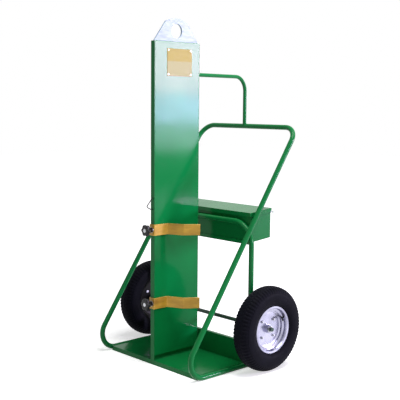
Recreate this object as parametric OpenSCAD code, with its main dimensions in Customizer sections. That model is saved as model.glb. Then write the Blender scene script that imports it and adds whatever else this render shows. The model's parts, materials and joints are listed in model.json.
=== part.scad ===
// Two-cylinder welding cart: a fire wall between two cylinder bays on a steel deck,
// bent tube side frames and handle, a toolbox behind, and two pneumatic wheels.
// Millimetres. X runs along the axle, -Y is the loading side, +Z is up.
// The origin is the middle of the footprint, on the floor.

/* [Tube frame] */
// Outside diameter of the frame tubes
tube_d = 25.4; // [22:0.1:28]
// Wall of every tube
tube_wall = 2.1; // [1.5:0.1:3]
// Middle plane of each side tube, from the centre
side_x = 332.5; // [325:0.5:345]
// Slope of the side tubes above the floor, degrees
lean = 55.6; // [53:0.1:58]
// Bend radius at the front foot of each side tube
foot_bend = 80; // [70:1:90]
// Bend radius at each handle corner
grip_bend = 77; // [60:1:90]
// Height of the handle bar's centre line
handle_z = 1143; // [1100:1:1200]
// How far the foot bends stand ahead of the fire wall, to the centre line
foot_reach = 52; // [45:1:60]
// Height of the rear hoop's top centre line
hoop_z = 697; // [680:1:705]
// Bend radius of the rear hoop
hoop_bend = 110; // [100:1:120]
// Outside diameter of the top brace tube
brace_d = 19; // [16:0.5:22]
// Height of the top brace's centre line
brace_z = 1397; // [1340:1:1450]
// Bend radius of the top brace
brace_bend = 75; // [60:1:90]
// Sideways turn of the top brace, degrees
brace_skew = 4.5; // [0:0.5:6]

/* [Deck] */
// Height of the deck's top face
deck_z = 22.2; // [21:0.1:24]
// Deck plate thickness
deck_t = 4.8; // [3:0.1:6]
// Depth of the deck
deck_depth = 304; // [295:1:310]
// Height of the upturned rear wall above the floor
rear_wall_z = 127; // [80:1:150]

/* [Fire wall] */
// Height of the fire wall above the deck
fire_h = 1524; // [1450:1:1600]
// Depth of the fire wall along Y
fire_w = 285; // [270:1:290]
// Whole thickness of the fire wall
fire_t = 26.4; // [24:0.2:30]
// Sheet thickness of the wall's skins
skin_t = 1.9; // [1.2:0.1:3]
// Gap between the skins' lower edge and the deck
skin_gap = 24; // [15:1:30]
// Lifting eye plate thickness
eye_t = 9.5; // [8:0.5:12]
// Lifting eye hole diameter
eye_hole_d = 70; // [60:1:76]
// Height of the lifting eye above the wall's top
eye_rise = 110; // [100:1:120]

/* [Cylinder clamps] */
// Height of the clamp bars
clamp_h = 53; // [45:1:60]
// Thickness of the clamp bars
clamp_t = 5; // [4:0.5:6]
// Centre height of the upper clamp
upper_clamp_z = 659; // [640:1:670]
// Centre height of the lower clamp
lower_clamp_z = 302.5; // [280:0.5:330]
// Stud diameter
stud_d = 12.7; // [12:0.1:13]
// Length of each stud ahead of the wall
stud_len = 50; // [48:1:56]
// Knob diameter over the lobes
knob_d = 58; // [40:1:62]

/* [Toolbox] */
// Half width of the toolbox body
box_half = 315; // [300:1:316]
// Depth of the toolbox body
box_depth = 141; // [120:1:180]
// Height of the toolbox body
box_h = 142; // [120:1:160]
// Height of the toolbox floor's front edge
box_z = 599; // [590:1:605]
// Rise of the toolbox floor and lid towards the rear, degrees
box_rise = 5.3; // [0:0.1:8]
// Sheet thickness of the toolbox
box_t = 1.9; // [1.2:0.1:3]

/* [Wheels] */
// Wheel diameter over the tread
tyre_d = 406.4; // [400:0.2:410]
// Tyre width
tyre_w = 99; // [90:1:105]
// Middle plane of each wheel, from the centre
wheel_x = 425; // [420:1:440]
// Axle diameter
axle_d = 19.05; // [19.05:0.05:19.15]

/* [Hidden] */
$fn = 64;
TINY = 0.01;

// Places on the floor plan
tube_r = tube_d / 2;
tube_run = (handle_z - tube_r) / tan(lean);
foot_tangent = foot_bend / tan(lean / 2);
corner_y = -(tube_run + foot_tangent - foot_bend) / 2;
foot_y = corner_y + foot_tangent;
handle_y = corner_y + tube_run;
fire_y = foot_y - foot_bend + foot_reach;
hoop_y = fire_y + 330;
hoop_x = side_x + 3.5;
axle_y = hoop_y + tube_r + axle_d / 2 + 0.15;
axle_z = tyre_d / 2;
deck_y = fire_y;

// Fire wall
fire_top = deck_z + fire_h;
skin_z = deck_z + skin_gap;
edge_bar_t = 4;
skin_y = fire_y + edge_bar_t;
skin_w = fire_w - 2 * edge_bar_t;
core_t = fire_t - 2 * skin_t;
cap_t = 3;
eye_root = 180;
foot_root = 100;
eye_y = fire_y + fire_w / 2;
eye_top = fire_top + eye_rise;
eye_hole_z = fire_top + 51;
eye_crown_r = 155;
eye_crown_half = 66;

// Clamps: the outer line of one side, from the front corner to the wing tip
clamp_gap = 0.3;
clamp_line = [[fire_t / 2 + clamp_gap + clamp_t, -clamp_gap - clamp_t], [fire_t / 2 + clamp_gap + clamp_t, 77],
              [97, 113], [142, 178]];
washer_t = 2.5;
knob_boss_y = clamp_gap + clamp_t + washer_t + 0.1;
knob_head_y = 31;
knob_head_t = 18;
insert_d = 18;
thread_gap = 0.1;

// Toolbox
box_y = hoop_y + tube_r + 0.2;
rise = tan(box_rise);
lid_gap = 1.6;
lid_t = 1.9;
lid_lip = 20;
lid_front_gap = 3;
lid_overhang_rear = 4;
hinge_r = 4.8;
hinge_pin_d = 4.8;
hinge_y = box_y + box_depth + 5.5;
hinge_z = box_z + box_h + box_depth * rise - 17;
hinge_pitch = 105;
hinge_count = 6;
hinge_leaf_t = 1.6;

// Wheels, measured across the wheel's middle plane
rim_t = 2.5;
bearing_d = 34.9;
bearing_w = 12.7;
hub_d = 41;
hub_in = -60;
hub_out = 18;
race_t = 3.4;
ball_d = 7.1;
ball_count = 7;
ball_ring_r = (axle_d / 2 + bearing_d / 2) / 2;
rim_bolt_ring = 54;
valve_angle = 115;

// ---- shared shapes ----

module mirror_pair() {
    children();
    mirror([1, 0, 0]) children();
}

// Turns a shape so its own X, Y, Z lie along the cart's Y, Z, X.
module side_plane() {
    rotate([90, 0, 90]) children();
}

module rod_x(d, x0, x1) {
    translate([x0, 0, 0]) rotate([0, 90, 0]) cylinder(d = d, h = x1 - x0);
}

module rod_y(d, y0, y1) {
    translate([0, y0, 0]) rotate([-90, 0, 0]) cylinder(d = d, h = y1 - y0);
}

// Quarter or other arc of a round bar, about the local Z axis
module arc_bar(d, radius, from_deg, sweep) {
    rotate([0, 0, from_deg]) rotate_extrude(angle = sweep) translate([radius, 0]) circle(d = d);
}

function unit(v) = v / norm(v);
function left_of(v) = [-v[1], v[0]];
// Outline point i of a line of points, moved sideways by d with mitred corners
function moved(pts, i, d) =
    let (a = i > 0 ? unit(pts[i] - pts[i - 1]) : unit(pts[1] - pts[0]),
         b = i < len(pts) - 1 ? unit(pts[i + 1] - pts[i]) : a,
         n = unit(left_of(a) + left_of(b)))
    pts[i] + n * d / (n * left_of(a));

// ---- tube frame ----

// Bent side tube about the plane X = 0: foot bend, floor run and incline
module side_solid(d, extra) {
    run = hoop_y + tube_r + 4 - foot_y;
    incline = tube_run / cos(lean) - foot_tangent - grip_bend;
    side_plane() translate([foot_y, tube_r + foot_bend, 0]) {
        arc_bar(d, foot_bend, lean + 90, 180 - lean);
        rotate([0, 0, 270]) translate([foot_bend, 0, 0]) rotate([-90, 0, 0]) cylinder(d = d, h = run + extra);
        rotate([0, 0, lean + 90]) translate([foot_bend, 0, 0]) rotate([90, 0, 0])
            cylinder(d = d, h = incline + extra);
    }
}

module side_tube() {
    sleeve_r = tube_r - tube_wall / 2;
    translate([side_x, 0, 0]) {
        difference() {
            side_solid(tube_d, 0);
            side_solid(tube_d - 2 * tube_wall, 1);
        }
        translate([0, foot_y - 3, tube_r]) difference() {
            rod_y(2 * sleeve_r, 0, 6);
            rod_y(2 * sleeve_r - 3, -1, 7);
        }
    }
}

module side_tube_right() {
    color("seagreen") side_tube();
}

module side_tube_left() {
    color("seagreen") mirror([1, 0, 0]) side_tube();
}

module handle_solid(d, extra) {
    half = side_x - grip_bend;
    translate([0, handle_y, handle_z]) rotate([lean, 0, 0]) {
        rod_x(d, -half, half);
        mirror_pair() translate([half, -grip_bend, 0]) {
            arc_bar(d, grip_bend, 0, 90);
            if (extra > 0) translate([grip_bend, 0, 0]) rotate([90, 0, 0]) cylinder(d = d, h = extra);
        }
    }
}

module handle_bar() {
    color("seagreen") difference() {
        handle_solid(tube_d, 0);
        handle_solid(tube_d - 2 * tube_wall, 1);
    }
}

module hoop_solid(d, extra) {
    half = hoop_x - hoop_bend;
    leg_z = tube_d - 2;
    translate([0, hoop_y, 0]) {
        translate([0, 0, hoop_z]) rod_x(d, -half, half);
        mirror_pair() {
            translate([half, 0, hoop_z - hoop_bend]) rotate([90, 0, 0]) arc_bar(d, hoop_bend, 0, 90);
            translate([hoop_x, 0, leg_z - extra]) cylinder(d = d, h = hoop_z - hoop_bend - leg_z + extra);
        }
    }
}

module rear_hoop() {
    color("seagreen") difference() {
        hoop_solid(tube_d, 0);
        hoop_solid(tube_d - 2 * tube_wall, 1);
        mirror_pair() translate([side_x, 0, 0]) side_solid(tube_d, 0);
    }
}

module brace_solid(d, extra) {
    leg_y = handle_y - fire_y - fire_w;
    translate([0, fire_y + fire_w, brace_z]) rotate([0, 0, brace_skew]) {
        rod_y(d, -2 - extra, leg_y - brace_bend);
        translate([0, leg_y - brace_bend, -brace_bend]) side_plane() arc_bar(d, brace_bend, 0, 90);
        translate([0, leg_y, handle_z - brace_z]) cylinder(d = d, h = brace_z - handle_z - brace_bend);
    }
}

module top_brace() {
    color("seagreen") difference() {
        brace_solid(brace_d, 0);
        brace_solid(brace_d - 2 * tube_wall, 1);
        translate([0, handle_y, handle_z]) rod_x(tube_d, -side_x / 2, side_x / 2);
        translate([-brace_d, fire_y + fire_w - brace_d, brace_z - brace_d]) cube([2 * brace_d, brace_d, 2 * brace_d]);
    }
}

// ---- deck ----

module deck_plate() {
    half = side_x - tube_r - 0.4;
    lip = 12;
    color("forestgreen") difference() {
        union() {
            translate([-side_x + 5, foot_y + 1, deck_z - deck_t])
                cube([2 * side_x - 10, deck_y + deck_depth - foot_y - 1, deck_t]);
            translate([-half, deck_y, deck_z - deck_t]) cube([2 * half, deck_depth, deck_t]);
            translate([-half, deck_y, 0]) cube([2 * half, deck_t, deck_z - TINY]);
            translate([-half, deck_y + deck_depth - deck_t, deck_z - deck_t])
                cube([2 * half, deck_t, rear_wall_z - deck_z + deck_t]);
            translate([-half, deck_y + deck_depth - deck_t, rear_wall_z - deck_t]) cube([2 * half, lip + deck_t, deck_t]);
        }
        mirror_pair() translate([side_x, deck_y - 100, tube_r]) rod_y(tube_d, 0, deck_depth + 200);
    }
}

// ---- fire wall ----

module edge_bar(y) {
    color("darkgreen") translate([-fire_t / 2, y, deck_z]) cube([fire_t, edge_bar_t, fire_h]);
}

module firewall_front_bar() {
    edge_bar(fire_y);
}

module firewall_rear_bar() {
    edge_bar(fire_y + fire_w - edge_bar_t);
}

module skin() {
    color("seagreen") translate([fire_t / 2 - skin_t, skin_y, skin_z])
        cube([skin_t, skin_w, fire_top - skin_z]);
}

module firewall_right_skin() {
    skin();
}

module firewall_left_skin() {
    mirror([1, 0, 0]) skin();
}

module fire_board() {
    slot = eye_t + 0.2;
    color("gainsboro") difference() {
        translate([-core_t / 2, skin_y, skin_z]) cube([core_t, skin_w, fire_top - cap_t - skin_z]);
        translate([-slot / 2, skin_y - 1, fire_top - eye_root - 0.2]) cube([slot, skin_w + 2, eye_root + 1]);
        translate([-slot / 2, skin_y - 1, skin_z - 1]) cube([slot, skin_w + 2, foot_root + 1.2]);
    }
}

module firewall_foot() {
    color("darkgreen") translate([-eye_t / 2, skin_y, deck_z]) cube([eye_t, skin_w, skin_gap + foot_root]);
}

module firewall_top_caps() {
    color("darkgreen") mirror_pair() translate([eye_t / 2, skin_y, fire_top - cap_t])
        cube([core_t / 2 - eye_t / 2, skin_w, cap_t]);
}

module eye_outline() {
    half = skin_w / 2;
    intersection() {
        polygon([[-half, -eye_root], [half, -eye_root], [half, 0], [eye_crown_half, eye_rise - 14],
                 [eye_crown_half, eye_rise + 20], [-eye_crown_half, eye_rise + 20],
                 [-eye_crown_half, eye_rise - 14], [-half, 0]]);
        union() {
            translate([0, eye_rise - eye_crown_r]) circle(r = eye_crown_r, $fn = 160);
            translate([-fire_w, -eye_root - 1]) square([2 * fire_w, eye_root + 61]);
        }
    }
}

module lifting_eye() {
    color("lightsteelblue") translate([-eye_t / 2, eye_y, fire_top]) side_plane() difference() {
        linear_extrude(height = eye_t) eye_outline();
        translate([0, eye_hole_z - fire_top, -1]) cylinder(d = eye_hole_d, h = eye_t + 2, $fn = 96);
    }
}

placard_y = fire_y + 155;
placard_z = 1450;
placard_size = [156, 128];
placard_t = 1.2;
rivet_inset = 8;

module placard() {
    color("gold") translate([fire_t / 2, placard_y - placard_size[0] / 2, placard_z - placard_size[1] / 2])
        cube([placard_t, placard_size[0], placard_size[1]]);
}

module placard_rivets() {
    color("silver") for (a = [-1, 1], b = [-1, 1])
        translate([fire_t / 2 + placard_t, placard_y + a * (placard_size[0] / 2 - rivet_inset),
                   placard_z + b * (placard_size[1] / 2 - rivet_inset)])
            rotate([0, 90, 0]) cylinder(d = 6, h = 1.5, $fn = 24);
}

// Wire hook on the front edge, bent as a pointed loop: [Y from the wall, Z] along its upper side
hook_d = 5;
hook_points = [[0, 816], [-40, 771], [-10, 755], [0, 755]];

module hose_hook() {
    last = len(hook_points) - 1;
    back = [for (i = [last : -1 : 0]) moved(hook_points, i, hook_d)];
    color("black") translate([-hook_d / 2, fire_y, 0]) difference() {
        side_plane() linear_extrude(height = hook_d) polygon(concat(hook_points, back));
        translate([-hook_d, 0, 700]) cube([3 * hook_d, 20, 200]);
    }
}

// ---- cylinder clamps ----

module stud(z) {
    color("silver") translate([0, fire_y, z]) rod_y(stud_d, -stud_len, 0);
}

module clamp_bar(z) {
    last = len(clamp_line) - 1;
    inner = [for (i = [last : -1 : 1]) moved(clamp_line, i, clamp_t)];
    half = concat(clamp_line, inner, [[fire_t / 2 + clamp_gap, -clamp_gap]]);
    mirrored = [for (i = [len(half) - 1 : -1 : 0]) [-half[i][0], half[i][1]]];
    color("goldenrod") translate([0, fire_y, z]) difference() {
        translate([0, 0, -clamp_h / 2]) linear_extrude(height = clamp_h) polygon(concat(half, mirrored));
        rod_y(stud_d + 1, -20, 10);
    }
}

module clamp_washer(z) {
    color("silver") translate([0, fire_y, z]) difference() {
        rod_y(28, -clamp_gap - clamp_t - washer_t, -clamp_gap - clamp_t);
        rod_y(stud_d + 0.8, -20, 0);
    }
}

module knob(z) {
    lobes = 6;
    lobe_r = knob_d * 0.16;
    color("black") translate([0, fire_y, z]) difference() {
        union() {
            translate([0, -knob_head_y, 0]) rotate([90, 0, 0]) linear_extrude(height = knob_head_t) {
                circle(r = knob_d / 2 - lobe_r * 0.75);
                for (i = [0 : lobes - 1]) rotate(i * 360 / lobes) translate([knob_d / 2 - lobe_r, 0])
                    circle(r = lobe_r, $fn = 32);
            }
            rod_y(25, -knob_head_y - 1, -knob_boss_y);
        }
        rod_y(insert_d, -60, 0);
    }
}

module knob_insert(z) {
    color("silver") translate([0, fire_y, z]) difference() {
        rod_y(insert_d, -knob_head_y - knob_head_t, -knob_boss_y);
        rod_y(stud_d + 2 * thread_gap, -60, 0);
    }
}

module upper_stud() { stud(upper_clamp_z); }
module upper_clamp() { clamp_bar(upper_clamp_z); }
module upper_washer() { clamp_washer(upper_clamp_z); }
module upper_knob() { knob(upper_clamp_z); }
module upper_knob_insert() { knob_insert(upper_clamp_z); }
module lower_stud() { stud(lower_clamp_z); }
module lower_clamp() { clamp_bar(lower_clamp_z); }
module lower_washer() { clamp_washer(lower_clamp_z); }
module lower_knob() { knob(lower_clamp_z); }
module lower_knob_insert() { knob_insert(lower_clamp_z); }

// ---- toolbox ----

// Slab whose faces rise to the rear: from y0 to y1 at heights z0 to z1 above the box's floor
module sloped(half, y0, y1, z0, z1) {
    translate([-half, box_y, box_z]) side_plane() linear_extrude(height = 2 * half)
        polygon([[y0, z0 + y0 * rise], [y1, z0 + y1 * rise], [y1, z1 + y1 * rise], [y0, z1 + y0 * rise]]);
}

module toolbox_rail() {
    bar_h = 18;
    bar_t = 3;
    color("seagreen") difference() {
        translate([-hoop_x, box_y - bar_t, box_z - 9]) cube([2 * hoop_x, bar_t, bar_h]);
        hoop_solid(tube_d + 0.2, 0);
    }
}

module toolbox_body() {
    color("seagreen") difference() {
        sloped(box_half, 0, box_depth, 0, box_h);
        sloped(box_half - box_t, box_t, box_depth - box_t, box_t, box_h + 5);
    }
}

module toolbox_lid() {
    lid_half = box_half + lid_gap + lid_t;
    front = -lid_gap - lid_t;
    back = box_depth + lid_overhang_rear;
    color("mediumseagreen") difference() {
        sloped(lid_half, front, back, box_h - lid_lip + lid_t + 0.3, box_h + 0.3 + lid_t);
        sloped(lid_half - lid_t, front + lid_t, back - lid_t, box_h - lid_lip - 5, box_h + 0.3);
        translate([-lid_half + lid_t + TINY, hinge_y - 9, hinge_z - 20])
            cube([2 * (lid_half - lid_t) - 2 * TINY, 20, 20 + hinge_r + 1]);
        mirror_pair() translate([lid_half - lid_t - 1, hinge_y - 7, hinge_z - 20]) cube([10, 20, 20 + hinge_r + 1]);
    }
}

// Knuckles at every other place along the rod, offset by one place for the lid
module knuckles(first) {
    for (i = [first : 2 : hinge_count - 1]) {
        x = (i - (hinge_count - 1) / 2) * hinge_pitch;
        translate([x - hinge_pitch / 2 + 0.5, 0, 0]) children();
    }
}

module knuckle_bore() {
    translate([0, hinge_y, hinge_z]) rod_x(hinge_pin_d + 0.2, -400, 400);
}

module hinge_body_leaves() {
    width = hinge_pitch - 1;
    color("silver") difference() {
        knuckles(0) {
            translate([0, hinge_y, hinge_z]) rod_x(2 * hinge_r, 0, width);
            translate([0, box_y + box_depth, hinge_z - 22]) cube([width, hinge_leaf_t, 22]);
        }
        knuckle_bore();
    }
}

module hinge_lid_leaves() {
    width = hinge_pitch - 1;
    leaf_y = box_y + box_depth + lid_overhang_rear;
    color("silver") difference() {
        knuckles(1) {
            translate([0, hinge_y, hinge_z]) rod_x(2 * hinge_r, 0, width);
            translate([0, leaf_y, hinge_z]) cube([width, hinge_leaf_t, 17]);
        }
        knuckle_bore();
    }
}

module hinge_rod() {
    color("silver") translate([0, hinge_y, hinge_z]) rod_x(hinge_pin_d, -box_half - 18, box_half + 18);
}

// ---- axle ----

collar_x = hoop_x + tube_r + 3;
cotter_x = wheel_x + hub_out + 8;

module at_axle() {
    translate([0, axle_y, axle_z]) children();
}

module axle() {
    end = cotter_x + 8;
    color("dimgray") at_axle() difference() {
        rod_x(axle_d, -end, end);
        mirror_pair() translate([cotter_x, 0, -20]) cylinder(d = 4.2, h = 40, $fn = 24);
    }
}

module axle_brackets() {
    plate_t = 6.4;
    inner = hoop_x - tube_r - plate_t;
    color("seagreen") mirror_pair() difference() {
        translate([inner, hoop_y - 10, axle_z - 25]) cube([plate_t, axle_y - hoop_y + 28, 50]);
        at_axle() rod_x(axle_d + 0.1, 0, 400);
    }
}

module axle_collars() {
    color("silver") mirror_pair() at_axle() difference() {
        rod_x(30, collar_x, wheel_x + hub_in - 1);
        rod_x(axle_d + 0.1, 0, 500);
    }
}

module axle_washers() {
    color("silver") mirror_pair() at_axle() difference() {
        rod_x(34, wheel_x + hub_out + 1, wheel_x + hub_out + 3.5);
        rod_x(axle_d + 0.4, 0, 500);
    }
}

module cotter_pins() {
    color("silver") mirror_pair() at_axle() translate([cotter_x, 0, 0]) {
        translate([0, 0, -18]) cylinder(d = 3.8, h = 32, $fn = 24);
        translate([0, 0, 16]) rotate([0, 90, 0]) rotate_extrude($fn = 48) translate([4, 0]) circle(d = 3, $fn = 24);
    }
}

// ---- wheels: built about the origin with the outer side to +X ----

module place_wheel(side) {
    translate([side * wheel_x, axle_y, axle_z]) mirror([side < 0 ? 1 : 0, 0, 0]) rotate([0, 90, 0]) children();
}

// Rim half as [radius, distance from the middle plane]
rim_line = [[hub_d / 2, 0], [80, 0], [92, 4], [92, 12], [101.6, 17], [101.6, 29], [104, 33.5], [112, 34.5]];

module rim_half() {
    last = len(rim_line) - 1;
    back = [for (i = [last : -1 : 0]) moved(rim_line, i, rim_t)];
    rotate_extrude($fn = 128) polygon(concat(rim_line, back));
}

function squircle(hw, hh, rc, p, n) = [for (i = [0 : n - 1]) let (t = 360 * i / n, c = cos(t), s = sin(t))
    [rc + hh * sign(s) * pow(abs(s), p), hw * sign(c) * pow(abs(c), p)]];

tyre_mid_r = 152.5;

module tyre() {
    half_h = tyre_d / 2 - tyre_mid_r;
    rotate_extrude($fn = 128) difference() {
        polygon(squircle(tyre_w / 2, half_h, tyre_mid_r, 0.8, 48));
        polygon(squircle(tyre_w / 2 - 6.5, half_h - 8.5, tyre_mid_r, 0.85, 40));
        translate([0, -31]) square([tyre_mid_r - 35, 62]);
        polygon([[80, -60], [112.4, -60], [112.4, -32], [103, -31], [103, 31], [112.4, 32], [112.4, 60], [80, 60]]);
    }
}

module inner_tube() {
    half_h = tyre_d / 2 - tyre_mid_r - 8.5;
    half_w = tyre_w / 2 - 6.5;
    rotate_extrude($fn = 128) difference() {
        polygon(squircle(half_w, half_h, tyre_mid_r, 0.85, 40));
        polygon(squircle(half_w - 2, half_h - 2, tyre_mid_r, 0.85, 40));
    }
}

module rim_outer_half() {
    difference() {
        rim_half();
        rim_bolt_places() cylinder(d = 8.4, h = 20, center = true, $fn = 24);
        valve_place() cylinder(d = 11, h = 60, center = true, $fn = 32);
    }
}

module rim_inner_half() {
    difference() {
        mirror([0, 0, 1]) rim_half();
        rim_bolt_places() cylinder(d = 8.4, h = 20, center = true, $fn = 24);
    }
}

module rim_bolt_places() {
    for (i = [0 : 3]) rotate([0, 0, 45 + 90 * i]) translate([rim_bolt_ring, 0, 0]) children();
}

module rim_bolts() {
    rim_bolt_places() {
        translate([0, 0, -rim_t - 5]) cylinder(d = 14.4, h = 5, $fn = 6);
        translate([0, 0, -rim_t - 1]) cylinder(d = 8, h = 2 * rim_t + 11, $fn = 24);
        translate([0, 0, rim_t]) cylinder(d = 14.4, h = 6.5, $fn = 6);
    }
}

module valve_place() {
    rotate([0, 0, valve_angle]) translate([96, 0, 14.5]) rotate([0, -40, 0]) children();
}

module valve() {
    valve_place() {
        translate([0, 0, -4]) cylinder(d = 10.6, h = 9, $fn = 32);
        translate([0, 0, 4]) cylinder(d = 8, h = 14, $fn = 32);
        translate([0, 0, 17]) cylinder(d = 9, h = 9, $fn = 32);
    }
}

module hub() {
    difference() {
        translate([0, 0, hub_in]) cylinder(d = hub_d, h = hub_out - hub_in);
        translate([0, 0, hub_in - 1]) cylinder(d = bearing_d, h = bearing_w + 1);
        translate([0, 0, hub_out - bearing_w]) cylinder(d = bearing_d, h = bearing_w + 1);
        translate([0, 0, hub_in - 1]) cylinder(d = bearing_d - 5, h = hub_out - hub_in + 2);
    }
}

module bearing_places() {
    for (z = [hub_in, hub_out - bearing_w]) translate([0, 0, z]) children();
}

module ball_groove() {
    translate([0, 0, bearing_w / 2]) rotate_extrude($fn = 64) translate([ball_ring_r, 0]) circle(d = ball_d + 0.1, $fn = 32);
}

module bearing_outer_races() {
    bearing_places() difference() {
        cylinder(d = bearing_d, h = bearing_w);
        translate([0, 0, -1]) cylinder(d = bearing_d - race_t, h = bearing_w + 2);
        ball_groove();
    }
}

module inner_races() {
    bearing_places() difference() {
        cylinder(d = axle_d + race_t, h = bearing_w);
        translate([0, 0, -1]) cylinder(d = axle_d + 0.04, h = bearing_w + 2);
        ball_groove();
    }
}

module bearing_balls() {
    bearing_places() for (i = [0 : ball_count - 1]) rotate([0, 0, i * 360 / ball_count])
        translate([ball_ring_r, 0, bearing_w / 2]) sphere(d = ball_d, $fn = 32);
}

module bearing_inner_races() {
    color("silver") for (side = [-1, 1]) place_wheel(side) inner_races();
}

module right_tyre() { color("dimgray") place_wheel(1) tyre(); }
module right_inner_tube() { color("black") place_wheel(1) inner_tube(); }
module right_rim_outer() { color("lightgray") place_wheel(1) rim_outer_half(); }
module right_rim_inner() { color("gray") place_wheel(1) rim_inner_half(); }
module right_rim_bolts() { color("silver") place_wheel(1) rim_bolts(); }
module right_hub() { color("lightgray") place_wheel(1) hub(); }
module right_bearing_outer_races() { color("silver") place_wheel(1) bearing_outer_races(); }
module right_bearing_balls() { color("silver") place_wheel(1) bearing_balls(); }
module right_valve() { color("black") place_wheel(1) valve(); }
module left_tyre() { color("dimgray") place_wheel(-1) tyre(); }
module left_inner_tube() { color("black") place_wheel(-1) inner_tube(); }
module left_rim_outer() { color("lightgray") place_wheel(-1) rim_outer_half(); }
module left_rim_inner() { color("gray") place_wheel(-1) rim_inner_half(); }
module left_rim_bolts() { color("silver") place_wheel(-1) rim_bolts(); }
module left_hub() { color("lightgray") place_wheel(-1) hub(); }
module left_bearing_outer_races() { color("silver") place_wheel(-1) bearing_outer_races(); }
module left_bearing_balls() { color("silver") place_wheel(-1) bearing_balls(); }
module left_valve() { color("black") place_wheel(-1) valve(); }

deck_plate();
side_tube_right();
side_tube_left();
handle_bar();
rear_hoop();
top_brace();
firewall_front_bar();
firewall_rear_bar();
firewall_right_skin();
firewall_left_skin();
fire_board();
firewall_foot();
firewall_top_caps();
lifting_eye();
placard();
placard_rivets();
hose_hook();
upper_stud();
upper_clamp();
upper_washer();
upper_knob();
upper_knob_insert();
lower_stud();
lower_clamp();
lower_washer();
lower_knob();
lower_knob_insert();
toolbox_rail();
toolbox_body();
toolbox_lid();
hinge_body_leaves();
hinge_lid_leaves();
hinge_rod();
axle();
axle_brackets();
axle_collars();
axle_washers();
cotter_pins();
bearing_inner_races();
right_tyre();
right_inner_tube();
right_rim_outer();
right_rim_inner();
right_rim_bolts();
right_hub();
right_bearing_outer_races();
right_bearing_balls();
right_valve();
left_tyre();
left_inner_tube();
left_rim_outer();
left_rim_inner();
left_rim_bolts();
left_hub();
left_bearing_outer_races();
left_bearing_balls();
left_valve();
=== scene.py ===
"""Dresses the gas cylinder cart: materials, detailed pieces, studio and camera."""

import json
import math

import bpy
from mathutils import Matrix, Vector


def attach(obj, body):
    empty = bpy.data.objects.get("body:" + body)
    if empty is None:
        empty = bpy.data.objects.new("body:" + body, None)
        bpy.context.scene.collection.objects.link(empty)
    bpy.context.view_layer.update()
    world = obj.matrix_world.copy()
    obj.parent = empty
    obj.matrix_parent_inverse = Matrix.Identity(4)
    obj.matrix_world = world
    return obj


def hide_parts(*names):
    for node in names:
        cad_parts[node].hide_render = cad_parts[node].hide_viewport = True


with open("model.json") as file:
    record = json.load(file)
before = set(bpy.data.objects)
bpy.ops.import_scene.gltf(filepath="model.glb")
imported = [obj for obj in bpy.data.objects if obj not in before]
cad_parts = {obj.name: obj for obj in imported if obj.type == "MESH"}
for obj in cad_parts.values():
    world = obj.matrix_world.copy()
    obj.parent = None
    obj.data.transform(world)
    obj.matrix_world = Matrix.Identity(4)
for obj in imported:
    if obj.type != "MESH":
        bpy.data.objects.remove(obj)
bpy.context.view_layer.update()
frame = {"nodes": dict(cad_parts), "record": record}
NODES = frame["nodes"]
SIDES = ((1, "right"), (-1, "left"))

# Places repeated from the construction, in metres
FIRE_Y = -0.2991  # front edge of the fire wall
FIRE_W = 0.285  # its depth from front to rear
FIRE_TOP = 1.5462
DECK_Z = 0.0222  # upper face of the deck
SIDE_X = 0.3325  # middle of a side tube
TUBE_R = 0.0127
HANDLE_Y, HANDLE_Z = 0.3511, 1.143
BRACE_R, BRACE_Z, BRACE_SKEW = 0.0099, 1.397, math.radians(4.5)
CLAMPS = (("upper", 0.659), ("lower", 0.3025))
STUD_R, STUD_LENGTH, STUD_PITCH = 0.00635, 0.05, 0.0019538
AXLE_Y, AXLE_Z, WHEEL_X = 0.053275, 0.2032, 0.425
TYRE_MID_R = 0.1525  # middle of the tyre's section
PLACARD_LOW, PLACARD_TOP = 1.386, 1.514


# ---- materials ----


def map_range(tree, value, low, high, to_low, to_high):
    node = tree.nodes.new("ShaderNodeMapRange")
    for name, number in (("From Min", low), ("From Max", high), ("To Min", to_low), ("To Max", to_high)):
        node.inputs[name].default_value = number
    tree.links.new(value, node.inputs["Value"])
    return node.outputs["Result"]


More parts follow.
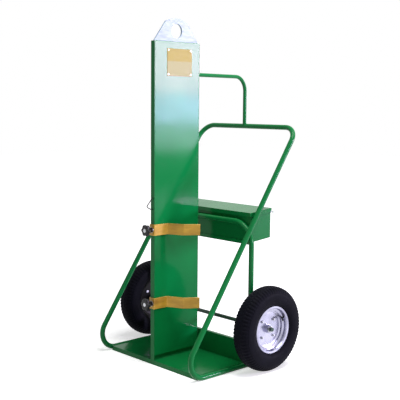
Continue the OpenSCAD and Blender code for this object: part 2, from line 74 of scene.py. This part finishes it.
class Nodes:
    """A small builder of shader nodes for one material."""

    def __init__(self, name):
        self.mat = bpy.data.materials.new(name)
        self.mat.use_nodes = True
        self.tree = self.mat.node_tree
        self.bsdf = self.tree.nodes["Principled BSDF"]
        self.coords = self.add("ShaderNodeTexCoord")

    def add(self, kind, **values):
        node = self.tree.nodes.new(kind)
        for key, value in values.items():
            setattr(node, key, value)
        return node

    def link(self, a, b):
        self.tree.links.new(a, b)

    def noise(self, scale, detail, stretch=(1, 1, 1)):
        """Cloudy noise in object space, finer with scale, drawn out along an axis by stretch."""
        mapping = self.add("ShaderNodeMapping")
        mapping.inputs["Scale"].default_value = stretch
        self.link(self.coords.outputs["Object"], mapping.inputs["Vector"])
        node = self.add("ShaderNodeTexNoise")
        node.inputs["Scale"].default_value = scale
        node.inputs["Detail"].default_value = detail
        self.link(mapping.outputs["Vector"], node.inputs["Vector"])
        return node.outputs["Fac"]

    def ramp(self, fac, stops):
        """A colour from stops of (place, colour)."""
        node = self.add("ShaderNodeValToRGB")
        ends = node.color_ramp.elements
        while len(ends) < len(stops):
            ends.new(0.5)
        for end, (place, colour) in zip(ends, stops):
            end.position = place
            end.color = (*colour, 1.0)
        self.link(fac, node.inputs["Fac"])
        return node.outputs["Color"]

    def span(self, fac, low, high, to_low, to_high):
        """Maps low..high to to_low..to_high."""
        return map_range(self.tree, fac, low, high, to_low, to_high)

    def colour(self, output):
        self.link(output, self.bsdf.inputs["Base Color"])

    def roughness(self, fac, low, high):
        """Drifts the roughness between low and high with the middle of a noise."""
        self.link(self.span(fac, 0.3, 0.7, low, high), self.bsdf.inputs["Roughness"])

    def bump(self, fac, strength, distance):
        node = self.add("ShaderNodeBump")
        node.inputs["Strength"].default_value = strength
        node.inputs["Distance"].default_value = distance
        self.link(fac, node.inputs["Height"])
        self.link(node.outputs["Normal"], self.bsdf.inputs["Normal"])

    def set(self, **values):
        """Sets sockets of the surface shader, with _ for each space in a name."""
        for key, value in values.items():
            self.bsdf.inputs[key.replace("_", " ")].default_value = value


def srgb(*channels):
    """Linear colour from 0 to 255 display values."""
    return tuple((c / 255 / 12.92) if c <= 10 else ((c / 255 + 0.055) / 1.055) ** 2.4 for c in channels)


def shade(colour, k):
    return tuple(c * k for c in colour)


def enamel(name, colour, specular, rough):
    """Gloss enamel: faint orange peel, slow drift of tone and of gloss."""
    m = Nodes(name)
    m.colour(m.ramp(m.noise(5, 2), [(0.3, shade(colour, 0.93)), (0.7, shade(colour, 1.07))]))
    m.roughness(m.noise(9, 4), rough - 0.03, rough + 0.04)
    m.bump(m.noise(40, 2), 0.02, 0.0005)
    m.set(Specular_IOR_Level=specular)
    return m.mat


def metal(name, colour, rough, grain=(1, 1, 1), scale=120, spread=0.1, tint=None, metallic=1.0):
    """Bare or plated metal, mottled between a darker colour and tint, with a grain along one way."""
    m = Nodes(name)
    low = shade(colour, 1 - spread)
    m.colour(m.ramp(m.noise(scale / 6, 4, grain), [(0.3, low), (0.7, tint or colour)]))
    m.roughness(m.noise(scale, 4, grain), rough * 0.75, rough * 1.3)
    m.bump(m.noise(scale * 3, 2, grain), 0.08, 0.0003)
    m.set(Metallic=metallic)
    return m.mat


def rubber(name, colour, rough, specular=0.3):
    """Rubber, plastic, or wire coloured near-black as painted shade, with a fine grain."""
    m = Nodes(name)
    m.colour(m.ramp(m.noise(14, 4), [(0.3, shade(colour, 0.8)), (0.7, shade(colour, 1.25))]))
    m.roughness(m.noise(40, 3), rough - 0.06, rough + 0.08)
    m.bump(m.noise(420, 3), 0.15, 0.0006)
    m.set(Specular_IOR_Level=specular)
    return m.mat


def board(name):
    """Pale mineral board."""
    m = Nodes(name)
    m.colour(m.ramp(m.noise(30, 5), [(0.35, (0.55, 0.54, 0.5)), (0.65, (0.72, 0.7, 0.66))]))
    m.bump(m.noise(200, 4), 0.4, 0.001)
    m.set(Roughness=0.9)
    return m.mat


def placard_paint(name):
    """Blank two-tone plate: brighter band on top, paler field below, with a faint grain."""
    m = Nodes(name)
    split = m.add("ShaderNodeSeparateXYZ")
    m.link(m.coords.outputs["Object"], split.inputs["Vector"])
    field, band = srgb(173, 165, 123), srgb(171, 153, 86)
    height = m.span(split.outputs["Z"], PLACARD_LOW, PLACARD_TOP, 0, 1)
    m.colour(m.ramp(height, [(0.52, field), (0.56, band)]))
    m.roughness(m.noise(60, 4), 0.32, 0.45)
    m.bump(m.noise(300, 2), 0.1, 0.0004)
    m.set(Specular_IOR_Level=0.08)
    return m.mat


MATERIALS = {
    "frame_green": enamel("frame_green", srgb(14, 112, 56), specular=0.12, rough=0.18),
    "panel_green": enamel("panel_green", srgb(10, 120, 60), specular=0.08, rough=0.09),
    "fire_board": board("fire_board"),
    # Painted reflection: the lifting eye's pale blue-grey colour, with its metal sheen turned off, stands in
    # for the bright reflection of the studio light on it.
    "eye_steel": metal("eye_steel", (0.34, 0.44, 0.55), rough=0.42, grain=(1, 1, 6), scale=60, spread=0.25,
                       tint=(0.42, 0.52, 0.62), metallic=0.0),
    "placard_yellow": placard_paint("placard_yellow"),
    "rivet_metal": metal("rivet_metal", (0.72, 0.72, 0.72), rough=0.35),
    # Painted shade: the hose hook wire is coloured near-black where it sits in the fire wall's shade.
    "black_wire": rubber("black_wire", (0.02, 0.02, 0.02), rough=0.4),
    "zinc": metal("zinc", (0.5, 0.51, 0.54), rough=0.38, scale=90, spread=0.2),
    "gold_zinc": metal("gold_zinc", srgb(176, 130, 34), rough=0.4, grain=(1, 1, 3), scale=70, spread=0.22,
                       tint=srgb(206, 162, 52), metallic=0.12),
    "knob_plastic": rubber("knob_plastic", (0.006, 0.006, 0.007), rough=0.3, specular=0.25),
    "axle_steel": metal("axle_steel", (0.02, 0.055, 0.035), rough=0.4, grain=(1, 8, 8), scale=80, spread=0.2,
                        metallic=0.3),
    "bearing_steel": metal("bearing_steel", (0.6, 0.6, 0.62), rough=0.2),
    # The tyre's near-black is the rubber's own colour; its blue tint is painted sheen, standing in for bluish
    # reflections on it.
    "tyre": rubber("tyre", (0.005, 0.005, 0.0085), rough=0.5, specular=0.03),
    "tube_rubber": rubber("tube_rubber", (0.02, 0.02, 0.02), rough=0.6),
    "rim_zinc": metal("rim_zinc", (0.34, 0.34, 0.46), rough=0.26, scale=50, spread=0.4,
                      tint=(0.5, 0.5, 0.63)),
    # Painted shade: the inner rim halves are coloured near-black because the far wheel's inner side lies in
    # shadow.
    "rim_black": enamel("rim_black", (0.006, 0.006, 0.006), specular=0.1, rough=0.35),
    "valve_rubber": rubber("valve_rubber", (0.02, 0.02, 0.02), rough=0.5),
}
SLOT_OF = {s["node"]: s["material_slot"] for s in frame["record"]["subparts"]}

for node_name, node in NODES.items():
    if not node.material_slots:
        node.data.materials.append(None)
    for place in node.material_slots:
        place.material = MATERIALS[SLOT_OF[node_name]]


def soften(name, width):
    """Rounds the arrises of a plate's node with modifiers, leaving its own mesh alone."""
    node = NODES[name]
    seams = node.modifiers.new("weld", "WELD")
    seams.merge_threshold = 0.00002
    bevel = node.modifiers.new("bevel", "BEVEL")
    bevel.width = width
    bevel.segments = 2
    bevel.limit_method = "ANGLE"
    bevel.angle_limit = math.radians(40)


# ---- mesh helpers ----


def piece(name, verts, faces, body, slot, replaces=None, sharp=None):
    """A smooth-shaded mesh that rides on a body; edges beyond sharp degrees stay crisp."""
    mesh = bpy.data.meshes.new(name)
    mesh.from_pydata([tuple(v) for v in verts], [], faces)
    mesh.validate()
    mesh.shade_smooth()
    obj = bpy.data.objects.new(name, mesh)
    bpy.context.scene.collection.objects.link(obj)
    mesh.materials.append(MATERIALS[slot])
    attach(obj, body)
    if sharp:
        mesh.set_sharp_from_angle(angle=math.radians(sharp))
    if replaces:
        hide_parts(replaces)
    return obj


def circle(n):
    """The angles of n points round a circle."""
    return [2 * math.pi * k / n for k in range(n)]


def lofted(rings, loop=False):
    """Vertices and faces of a skin over rings of equal length, capped unless it closes in a loop."""
    n = len(rings[0])
    verts = [v for ring in rings for v in ring]
    faces = []
    for i in range(len(rings) if loop else len(rings) - 1):
        a, b = i * n, ((i + 1) % len(rings)) * n
        for j in range(n):
            k = (j + 1) % n
            faces.append((a + j, a + k, b + k, b + j))
    if not loop:
        faces.append(tuple(range(n - 1, -1, -1)))
        faces.append(tuple((len(rings) - 1) * n + j for j in range(n)))
    return verts, faces


def turned(faces):
    return [tuple(reversed(f)) for f in faces]


def sweep(points, radius, sides=10, closed=False, lump=0.0, period=0.006):
    """A round bar along a line of points, with optional weld-like lumps."""
    pts = [Vector(p) for p in points]
    n = len(pts)
    run = 0.0
    rings = []
    normal = None
    for i, p in enumerate(pts):
        before = pts[i - 1] if (i or closed) else pts[0]
        after = pts[(i + 1) % n] if (i < n - 1 or closed) else pts[-1]
        along = (after - before).normalized()
        if normal is None:
            seed = Vector((0, 0, 1)) if abs(along.z) < 0.9 else Vector((1, 0, 0))
            normal = (seed - along * seed.dot(along)).normalized()
        else:
            normal = (normal - along * normal.dot(along)).normalized()
        side = along.cross(normal)
        run += (p - before).length if i else 0.0
        r = radius * (1 + lump * math.sin(2 * math.pi * run / period))
        rings.append([p + r * (normal * math.cos(a) + side * math.sin(a)) for a in circle(sides)])
    return lofted(rings, loop=closed)


def rounded_path(points, radii, step):
    """Flat points with each inner corner rounded to its radius."""
    out = [Vector(points[0])]
    for i in range(1, len(points) - 1):
        p = Vector(points[i])
        a = (Vector(points[i - 1]) - p).normalized()
        b = (Vector(points[i + 1]) - p).normalized()
        half = a.angle(b) / 2
        cut = radii[i] / math.tan(half)
        start, end = p + a * cut, p + b * cut
        centre = p + (a + b).normalized() * (radii[i] / math.sin(half))
        u, v = start - centre, end - centre
        turn = u.angle(v)
        for k in range(step + 1):
            t = k / step
            w = (u * math.sin((1 - t) * turn) + v * math.sin(t * turn)) / math.sin(turn)
            out.append(centre + w)
    out.append(Vector(points[-1]))
    return out


# ---- tyres ----

SECTION_W, SECTION_H, SECTION_POWER = 0.0489, 0.0503, 0.8  # outer skin, half width and half height
CAVITY_W, CAVITY_H, CAVITY_POWER = 0.042, 0.0412, 0.85
BEAD_FROM, BEAD_SPAN, SKIN_STEPS = -52, 284, 84  # degrees round the section, from bead to bead
LUGS, STEPS_PER_LUG = 72, 6
TREAD_R, SHOULDER_R = 0.187, 0.176
GROOVES, GROOVE_HALF, GROOVE_DEPTH = (0.0, 0.0115, 0.0225), 0.0012, 0.0028
MIDDLE_RIBS, OUTER_RIBS = 0.0115, 0.0235
LUG_SHARE, LUG_DEPTH = 0.34, 0.0032
SIPE_SHARE, SIPE_DEPTH = 0.17, 0.0016
RING_R = 0.0013
WALL_RINGS = (("bead_ring", 0.1235, 0.0012), ("wall_ring", 0.1475, 0.0009), ("shoulder_ring", 0.1745, 0.0006))


def squircle(t, half_w, half_h, power):
    """A point (radius from the axle, offset along it) of the tyre's section."""
    c, s = math.cos(t), math.sin(t)
    return (TYRE_MID_R + half_h * math.copysign(abs(s) ** power, s),
            half_w * math.copysign(abs(c) ** power, c))


def cut_tread(r, a, phase):
    """Cuts grooves, sipes and shoulder lugs into a point of the outer skin."""
    lane = abs(a)
    if r > TREAD_R:
        depth = GROOVE_DEPTH if any(abs(lane - mid) < GROOVE_HALF for mid in GROOVES) else 0.0
        shifted = (phase + (0.5 if lane < MIDDLE_RIBS else 0.0)) % 1.0
        if lane > OUTER_RIBS:
            depth = LUG_DEPTH if shifted < LUG_SHARE else 0.0
        elif shifted < SIPE_SHARE:
            depth = max(depth, SIPE_DEPTH)
        return r - depth, a
    if r > SHOULDER_R and lane / SECTION_W > 0.6 and phase < LUG_SHARE:
        return r - 0.0008, a * 0.975
    return r, a


def tyre(sign, side):
    """Carcass with bead, sidewall rings, shoulder lugs and a ribbed tread."""
    name, node, body = f"{side}_tyre_dressed", f"{side}_tyre", f"{side}_wheel"
    around = [math.radians(BEAD_FROM + (BEAD_SPAN * i / SKIN_STEPS)) for i in range(SKIN_STEPS + 1)]
    outer = [squircle(t, SECTION_W, SECTION_H, SECTION_POWER) for t in around]
    inner = [squircle(math.radians(t), CAVITY_W, CAVITY_H, CAVITY_POWER) for t in range(225, -46, -10)]

    def place(r, a, turn):
        return Vector((sign * (WHEEL_X + a), AXLE_Y + r * math.cos(turn), AXLE_Z + r * math.sin(turn)))

    rings = []
    for k, turn in enumerate(circle(LUGS * STEPS_PER_LUG)):
        phase = (k % STEPS_PER_LUG) / STEPS_PER_LUG
        skin = [cut_tread(r, a, phase) for r, a in outer]
        rings.append([place(r, a, turn) for r, a in skin + inner])
    verts, faces = lofted(rings, loop=True)
    piece(name, verts, turned(faces) if sign > 0 else faces, body, "tyre", node, 38)

    for tag, r, drop in WALL_RINGS:
        rise = (r - TYRE_MID_R) / SECTION_H
        t = math.asin(max(-1, min(1, math.copysign(abs(rise) ** (1 / SECTION_POWER), rise))))
        for face, where in ((-1, "in"), (1, "out")):
            x = face * (SECTION_W * math.cos(t) ** SECTION_POWER - drop)
            verts, faces = sweep([place(r, x, turn) for turn in circle(120)], RING_R, 8, closed=True)
            piece(f"{name}_{tag}_{where}", verts, faces, body, "tyre", node)


for sign, side_name in SIDES:
    tyre(sign, side_name)


# ---- clamp straps with rolled bends ----

STRAP_HALF_T, STRAP_HALF_H, STRAP_EDGE = 0.0025, 0.0265, 0.0007
STRAP_LINE = ((0.142, 0.178), (0.097, 0.113), (0.0185, 0.077), (0.0185, -0.0053))
STRAP_BENDS = (0, 0.009, 0.009, 0.0031, 0.0031, 0.009, 0.009, 0)
STRAP_HOLE_R = 0.0068


def strap_middle():
    """The strap's middle line in plan, half a thickness inside its outer line."""
    outer = [Vector((x, y, 0)) for x, y in STRAP_LINE]
    outer += [Vector((-x, y, 0)) for x, y in reversed(STRAP_LINE)]
    middle = []
    for i, p in enumerate(outer):
        a = (p - outer[i - 1]).normalized() if i else (outer[1] - p).normalized()
        b = (outer[i + 1] - p).normalized() if i < len(outer) - 1 else a
        na, nb = Vector((a.y, -a.x, 0)), Vector((b.y, -b.x, 0))
        n = (na + nb).normalized()
        middle.append(p + n * STRAP_HALF_T / n.dot(na))
    return middle


def strap(where, z):
    path = rounded_path(strap_middle(), STRAP_BENDS, 5)
    t, h, e = STRAP_HALF_T, STRAP_HALF_H, STRAP_EDGE
    outline = [(-t, -h + e), (-t + e, -h), (t - e, -h), (t, -h + e),
               (t, h - e), (t - e, h), (-t + e, h), (-t, h - e)]
    rings = []
    for i, p in enumerate(path):
        a = (path[min(i + 1, len(path) - 1)] - path[max(i - 1, 0)]).normalized()
        n = Vector((a.y, -a.x, 0))
        rings.append([Vector((p.x + n.x * u, FIRE_Y + p.y + n.y * u, z + w)) for u, w in outline])
    obj = piece(where + "_strap", *lofted(rings), where + "_clamp_bar", "gold_zinc", where + "_clamp", 30)
    bpy.ops.mesh.primitive_cylinder_add(vertices=48, radius=STRAP_HOLE_R, depth=0.04,
                                        location=(0, FIRE_Y, z), rotation=(math.pi / 2, 0, 0))
    cutter = bpy.context.object
    hole = obj.modifiers.new("hole", "BOOLEAN")
    hole.object = cutter
    hole.solver = "EXACT"
    bpy.context.view_layer.objects.active = obj
    bpy.ops.object.modifier_apply(modifier="hole")
    bpy.data.objects.remove(cutter)


# ---- hand knobs, studs ----

KNOB_LOBES, KNOB_SIDES, KNOB_BORE = 6, 144, 0.00905
# From the back of the boss to the bore's front edge: (distance off the wall, radius, depth of the lobes)
KNOB_PROFILE = (
    (0.0082, KNOB_BORE, 0), (0.0082, 0.0118, 0), (0.009, 0.0124, 0), (0.0255, 0.0124, 0),
    (0.0285, 0.0145, 0.03), (0.0312, 0.0235, 0.12), (0.0325, 0.0272, 0.19), (0.0345, 0.0288, 0.21),
    (0.0435, 0.0288, 0.21), (0.0465, 0.0278, 0.2), (0.0482, 0.0255, 0.17), (0.0488, 0.022, 0.12),
    (0.0484, 0.0135, 0.02), (0.0484, KNOB_BORE, 0),
)


def knob(where, z):
    rings = []
    for y, r, depth in KNOB_PROFILE:
        ring = []
        for t in circle(KNOB_SIDES):
            wave = 0.5 + 0.5 * math.cos(KNOB_LOBES * t)
            lobed = r * (1 - depth * (1 - wave ** 0.7))
            ring.append(Vector((lobed * math.cos(t), FIRE_Y - y, z + lobed * math.sin(t))))
        rings.append(ring)
    verts, faces = lofted(rings, loop=True)
    piece(where + "_knob_grip", verts, turned(faces), where + "_hand_knob", "knob_plastic", where + "_knob", 50)


def stud(where, z):
    """Half-inch stud with its thread cut as fine rings."""
    core, root, end = 0.0001, STUD_R - 0.0011, -STUD_LENGTH
    profile = [(core, 0.0)]
    y = 0.0
    while y < STUD_LENGTH - 0.003:
        profile += [(STUD_R, -y - 0.0002), (STUD_R, -y - STUD_PITCH * 0.3),
                    (root, -y - STUD_PITCH * 0.62), (STUD_R, -y - STUD_PITCH * 0.94)]
        y += STUD_PITCH
    profile += [(STUD_R - 0.0004, end + 0.0008), (STUD_R - 0.0012, end), (core, end)]
    rings = [[Vector((r * math.cos(t), FIRE_Y + a, z + r * math.sin(t))) for r, a in profile]
             for t in circle(40)]
    piece(where + "_stud_thread", *lofted(rings, loop=True), "frame", "zinc", where + "_stud", 40)


for where_name, height in CLAMPS:
    strap(where_name, height)
    knob(where_name, height)
    stud(where_name, height)


# ---- hose hook as bent round wire ----

HOOK_LINE = ((0.004, 0.8170), (-0.0366, 0.7710), (-0.0100, 0.7577), (0.004, 0.7577))  # (y off the wall, z)
flat = rounded_path([Vector((y, z, 0)) for y, z in HOOK_LINE], (0, 0.006, 0.006, 0), 8)
piece("hose_hook_wire", *sweep([Vector((0, FIRE_Y + p.x, p.y)) for p in flat], 0.0023, 14),
      "frame", "black_wire", "hose_hook")


# ---- weld beads ----


def weld(name, points, radius, closed=False):
    piece(name, *sweep(points, radius, 8, closed, 0.16, 0.0046), "frame", "frame_green")


def fore_and_aft(x, z, front, rear):
    """Points 1.2 mm apart along a line that runs to the rear."""
    a, b = Vector((x, FIRE_Y + front, z)), Vector((x, FIRE_Y + rear, z))
    n = max(2, int((b - a).length / 0.0012))
    return [a.lerp(b, i / n) for i in range(n + 1)]


for sign, side_name in SIDES:
    weld(f"weld_deck_{side_name}",
         fore_and_aft(sign * (SIDE_X - TUBE_R - 0.0002), DECK_Z + 0.0002, 0.012, 0.29), 0.0022)
    weld(f"weld_foot_{side_name}",
         fore_and_aft(sign * 0.00575, DECK_Z + 0.0008, 0.005, FIRE_W - 0.005), 0.0018)
    weld(f"weld_eye_{side_name}",
         fore_and_aft(sign * 0.00505, FIRE_TOP + 0.0003, 0.006, FIRE_W - 0.006), 0.0016)

# The brace's foot: a ring that follows the handle bar's round top
reach = HANDLE_Y - FIRE_Y - FIRE_W
foot_x = -reach * math.sin(BRACE_SKEW)
foot_y = FIRE_Y + FIRE_W + reach * math.cos(BRACE_SKEW)
ring_points = []
for t in circle(96):
    px, py = foot_x + BRACE_R * math.cos(t), foot_y + BRACE_R * math.sin(t)
    off = min(abs(py - HANDLE_Y), TUBE_R - 0.0002)
    ring_points.append(Vector((px, py, HANDLE_Z + math.sqrt(TUBE_R ** 2 - off ** 2) + 0.0003)))
weld("weld_brace_foot", ring_points, 0.0021, closed=True)
weld("weld_brace_root",
     [Vector((BRACE_R * math.cos(t), FIRE_Y + FIRE_W + 0.0002, BRACE_Z + BRACE_R * math.sin(t)))
      for t in circle(96)], 0.002, closed=True)


# ---- softened arrises on plate parts ----

ARRISES = (
    (0.0012, ("deck_plate", "toolbox_body", "toolbox_lid", "axle_brackets")),
    (0.001, ("firewall_front_bar", "firewall_rear_bar", "lifting_eye")),
    (0.0006, ("toolbox_rail",)),
    (0.0003, ("placard", "firewall_right_skin", "firewall_left_skin")),
)
for width, names in ARRISES:
    for plate in names:
        soften(plate, width)


# ---- studio ----

FILL_LIGHT, WHITE = 0.19, 1.0  # the world as light, and as seen
GLOW_NEAR, GLOW_FAR = 0.54, 0.9  # the floor as seen, near the cart and far from it
FADE_FROM, FADE_TO = 0.8, 3.2  # distances from the middle
VIEW_ANGLES = (46.94, 6.54, 0.47)  # yaw, downward pitch and roll in degrees
VIEW_PLACE, VIEW_LENS = (2.98813, -2.78365, 1.24862), 74.23


def area(name, place, target, size, power, colour=(1, 1, 1)):
    data = bpy.data.lights.new(name, "AREA")
    data.shape = "RECTANGLE"
    data.size, data.size_y = size
    data.energy = power
    data.color = colour
    obj = bpy.data.objects.new(name, data)
    bpy.context.scene.collection.objects.link(obj)
    obj.location = place
    obj.rotation_euler = (Vector(target) - Vector(place)).to_track_quat("-Z", "Y").to_euler()


def maths(tree, operation, a, b):
    node = tree.nodes.new("ShaderNodeMath")
    node.operation = operation
    tree.links.new(a, node.inputs[0])
    tree.links.new(b, node.inputs[1])
    return node.outputs[0]


def seen_ray(tree):
    """1 on rays from the camera and in reflections, 0 on rays that light the object."""
    path = tree.nodes.new("ShaderNodeLightPath")
    seen = path.outputs["Is Camera Ray"]
    for other in ("Is Glossy Ray", "Is Transmission Ray"):
        seen = maths(tree, "MAXIMUM", seen, path.outputs[other])
    return seen


def backdrop_world():
    world = bpy.data.worlds.new("studio")
    bpy.context.scene.world = world
    world.use_nodes = True
    tree = world.node_tree
    back = tree.nodes["Background"]
    back.inputs["Color"].default_value = (1, 1, 1, 1)
    tree.links.new(map_range(tree, seen_ray(tree), 0, 1, FILL_LIGHT, WHITE), back.inputs["Strength"])


def floor():
    """A pale floor that keeps the cart's shadow and fades into the white backdrop."""
    bpy.ops.mesh.primitive_plane_add(size=30, location=(0, 0, 0))
    obj = bpy.context.object
    obj.name = "studio_floor"
    mat = bpy.data.materials.new("studio_floor")
    mat.use_nodes = True
    tree = mat.node_tree
    bsdf = tree.nodes["Principled BSDF"]
    bsdf.inputs["Base Color"].default_value = (0.9, 0.9, 0.9, 1)
    bsdf.inputs["Roughness"].default_value = 0.9
    bsdf.inputs["Specular IOR Level"].default_value = 0.0
    bsdf.inputs["Emission Color"].default_value = (1, 1, 1, 1)
    coords = tree.nodes.new("ShaderNodeTexCoord")
    distance = tree.nodes.new("ShaderNodeVectorMath")
    distance.operation = "LENGTH"
    tree.links.new(coords.outputs["Object"], distance.inputs[0])
    lift = map_range(tree, distance.outputs["Value"], FADE_FROM, FADE_TO, GLOW_NEAR, GLOW_FAR)
    tree.links.new(maths(tree, "MULTIPLY", lift, seen_ray(tree)), bsdf.inputs["Emission Strength"])
    obj.data.materials.append(mat)


def camera():
    yaw, pitch, roll = (math.radians(v) for v in VIEW_ANGLES)
    ahead = Vector((-math.sin(yaw) * math.cos(pitch), math.cos(yaw) * math.cos(pitch), -math.sin(pitch)))
    right = ahead.cross(Vector((0, 0, 1))).normalized()
    up = right.cross(ahead)
    right, up = (math.cos(roll) * right + math.sin(roll) * up, math.cos(roll) * up - math.sin(roll) * right)
    data = bpy.data.cameras.new("view")
    data.sensor_width = 36
    data.lens = VIEW_LENS
    obj = bpy.data.objects.new("view", data)
    bpy.context.scene.collection.objects.link(obj)
    obj.matrix_world = Matrix.Translation(VIEW_PLACE) @ Matrix((right, up, -ahead)).transposed().to_4x4()
    bpy.context.scene.camera = obj


backdrop_world()
floor()
camera()
bpy.context.scene.view_settings.view_transform = "Standard"

# Three cards behind the right side, bright above and dimmer below: the fire wall mirrors them near its top
for name, z, aim_z, height, power, colour in (
    ("card_top", 2.02, 1.5, 1.2, 370, (0.92, 0.74, 1.0)),
    ("card_mid", 1.2, 1.2, 0.42, 125, (0.55, 0.63, 1.0)),
    ("card_low", 0.8, 1.1, 0.36, 36, (0.72, 0.8, 1.0)),
):
    area(name, (5.89, 5.08, z), (0.0, -0.16, aim_z), (1.1, height), power, colour)
area("key", (1.3, 0.1, 4.5), (0.0, 0.0, 0.6), (2.6, 2.6), 210)
